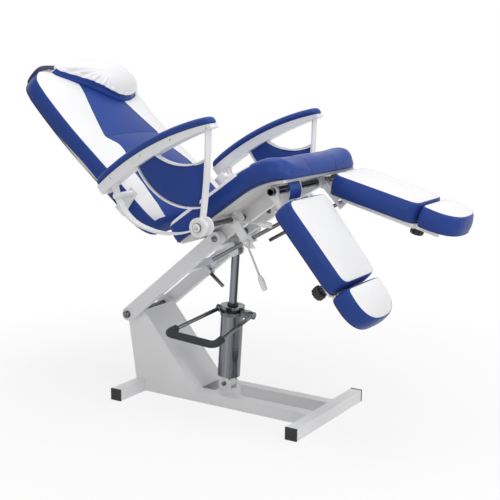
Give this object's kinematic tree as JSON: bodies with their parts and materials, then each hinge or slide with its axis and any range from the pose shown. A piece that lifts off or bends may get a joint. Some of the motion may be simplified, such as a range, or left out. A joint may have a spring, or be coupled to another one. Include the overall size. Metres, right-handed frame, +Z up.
{
  "type": "pedicure chair",
  "caption": "Hydraulic pedicure chair with a blue and white padded seat, reclining back with swinging armrests, split leg rests and sliding foot pads on a white steel base",
  "frame": {"origin": "centre of the bounding box in plan, on the floor under the base feet", "axes": "-Y the way the sitter faces, +Z up, +X to the sitter's left"},
  "size_m": [0.7172, 1.5117, 1.1692],
  "materials": {
    "powder_coat_white": "semi-gloss powder coat",
    "vinyl_blue": "soft-sheen upholstery vinyl",
    "vinyl_white": "soft-sheen upholstery vinyl",
    "board_grey": "matt laminate",
    "chrome_steel": "polished",
    "black_plastic": "matt",
    "sleeve_rubber": "ribbed matt",
    "grip_white": "gloss",
    "bush_plastic": "matt"
  },
  "bodies": {
    "base": {"front_foot": "powder_coat_white", "rear_foot": "powder_coat_white", "foot_end_caps": "black_plastic", "base_rails": "powder_coat_white", "tower_plate_left": "powder_coat_white", "tower_plate_right": "powder_coat_white", "tower_front_cover": "powder_coat_white", "lift_shaft": "chrome_steel", "pump_clevis": "powder_coat_white", "pump_base_pin": "chrome_steel"},
    "lift_fork": {"lift_bars": "powder_coat_white", "lift_bushes": "bush_plastic", "arm_cross_tube": "powder_coat_white", "arm_tie_bar": "powder_coat_white", "rod_clevis": "powder_coat_white", "seat_pivot_shaft": "chrome_steel"},
    "tilt_lever": {"tilt_lock_lever": "chrome_steel"},
    "pump_barrel": {"pump_cylinder": "chrome_steel", "pump_head": "chrome_steel", "pump_eye": "powder_coat_white"},
    "pump_ram": {"pump_rod": "chrome_steel"},
    "pedal": {"pedal_loop": "chrome_steel", "pedal_sleeve": "sleeve_rubber"},
    "seat": {"seat_cushion": "vinyl_blue", "seat_board": "board_grey", "seat_rails": "powder_coat_white", "hub_blocks": "powder_coat_white", "hub_shafts": "chrome_steel", "lever_brackets": "powder_coat_white", "rod_clamps": "powder_coat_white", "leg_hinge_tube": "chrome_steel", "front_flaps": "vinyl_blue"},
    "backrest": {"back_board": "board_grey", "back_cushion": "vinyl_blue", "head_pillow": "vinyl_white", "armrest_bars": "powder_coat_white", "armrest_posts": "powder_coat_white", "armrest_straps": "powder_coat_white", "armrest_rims": "powder_coat_white", "armrest_panels": "vinyl_blue", "armrest_pad_left": "vinyl_blue", "armrest_pad_right": "vinyl_blue", "hub_discs": "powder_coat_white", "back_pins": "powder_coat_white"},
    "recline_lever": {"recline_lever_rod": "powder_coat_white", "recline_lever_grip": "grip_white"},
    "legs_lever": {"legs_lever_rod": "powder_coat_white", "legs_lever_grip": "grip_white"},
    "leg_right": {"leg_cushion_right": "vinyl_white", "leg_frame_right": "powder_coat_white"},
    "foot_right": {"foot_cushion_right": "vinyl_white", "foot_slide_right": "powder_coat_white"},
    "knob_right": {"clamp_knob_right": "black_plastic"},
    "lock_rod_right": {"leg_lock_rod_right": "chrome_steel"},
    "leg_left": {"leg_cushion_left": "vinyl_white", "leg_frame_left": "powder_coat_white"},
    "foot_left": {"foot_cushion_left": "vinyl_white", "foot_slide_left": "powder_coat_white"},
    "knob_left": {"clamp_knob_left": "black_plastic"},
    "lock_rod_left": {"leg_lock_rod_left": "chrome_steel"}
  },
  "joints": [
    {"name": "lift", "type": "hinge", "parent": "base", "child": "lift_fork", "pos_m": [0, 0.38201, 0.283], "axis": [-1, 0, 0], "range_deg": [-16, 0]},
    {"name": "pump_lean", "type": "hinge", "parent": "base", "child": "pump_barrel", "pos_m": [0, 0.04001, 0.062], "axis": [-1, 0, 0], "range_deg": [-9.88, 0]},
    {"name": "pump_stroke", "type": "slide", "parent": "pump_barrel", "child": "pump_ram", "axis": [0, -0.0638, 0.998], "range_m": [-0.10386, 0]},
    {"name": "pump_pedal", "type": "hinge", "parent": "pump_barrel", "child": "pedal", "pos_m": [0, 0.02369, 0.31748], "axis": [0, 0.998, 0.0638], "range_deg": [-20, 0]},
    {"name": "tilt_lock", "type": "hinge", "parent": "lift_fork", "child": "tilt_lever", "pos_m": [0.036, 0.14433, 0.43487], "axis": [-1, 0, 0], "range_deg": [-10, 10]},
    {"name": "seat_tilt", "type": "hinge", "parent": "lift_fork", "child": "seat", "pos_m": [0, 0.01163, 0.58832], "axis": [-1, 0, 0], "range_deg": [-14, 0]},
    {"name": "recline", "type": "hinge", "parent": "seat", "child": "backrest", "pos_m": [0, -0.07887, 0.66466], "axis": [-1, 0, 0], "range_deg": [0, 18]},
    {"name": "recline_lever_turn", "type": "hinge", "parent": "seat", "child": "recline_lever", "pos_m": [-0.16, -0.07887, 0.66466], "axis": [-1, 0, 0], "range_deg": [0, 15]},
    {"name": "legs_lever_turn", "type": "hinge", "parent": "seat", "child": "legs_lever", "pos_m": [-0.165, -0.13495, 0.5961], "axis": [-1, 0, 0], "range_deg": [0, 15]},
    {"name": "leg_raise_right", "type": "hinge", "parent": "seat", "child": "leg_right", "pos_m": [-0.15, -0.25678, 0.77269], "axis": [-1, 0, 0], "range_deg": [0, 40.8]},
    {"name": "foot_slide_right", "type": "slide", "parent": "leg_right", "child": "foot_right", "axis": [0, -0.632, -0.7749], "range_m": [0, 0.1]},
    {"name": "knob_turn_right", "type": "hinge", "parent": "leg_right", "child": "knob_right", "pos_m": [-0.2, -0.44104, 0.49455], "axis": [0, 0.7749, -0.632], "continuous": true},
    {"name": "lock_rod_slide_right", "type": "slide", "parent": "seat", "child": "lock_rod_right", "axis": [0, -0.8704, 0.4924], "range_m": [0, 0.06324]},
    {"name": "leg_raise_left", "type": "hinge", "parent": "seat", "child": "leg_left", "pos_m": [0.15, -0.25678, 0.77269], "axis": [-1, 0, 0], "range_deg": [-35.7, 5.1]},
    {"name": "foot_slide_left", "type": "slide", "parent": "leg_left", "child": "foot_left", "axis": [0, -0.9655, -0.2605], "range_m": [0, 0.1]},
    {"name": "knob_turn_left", "type": "hinge", "parent": "leg_left", "child": "knob_left", "pos_m": [0.2, -0.56872, 0.65434], "axis": [0, 0.2605, -0.9655], "continuous": true},
    {"name": "lock_rod_slide_left", "type": "slide", "parent": "seat", "child": "lock_rod_left", "axis": [0, -0.8704, 0.4924], "range_m": [-0.0554, 0.00834]}
  ],
  "couplings": [
    {"joint": "pump_lean", "follows": "lift", "ratio": 0.59891},
    {"joint": "pump_stroke", "follows": "lift", "m_per_rad": 0.37013},
    {"joint": "lock_rod_slide_right", "follows": "leg_raise_right", "m_per_rad": 0.08811},
    {"joint": "lock_rod_slide_left", "follows": "leg_raise_left", "m_per_rad": 0.08811}
  ]
}
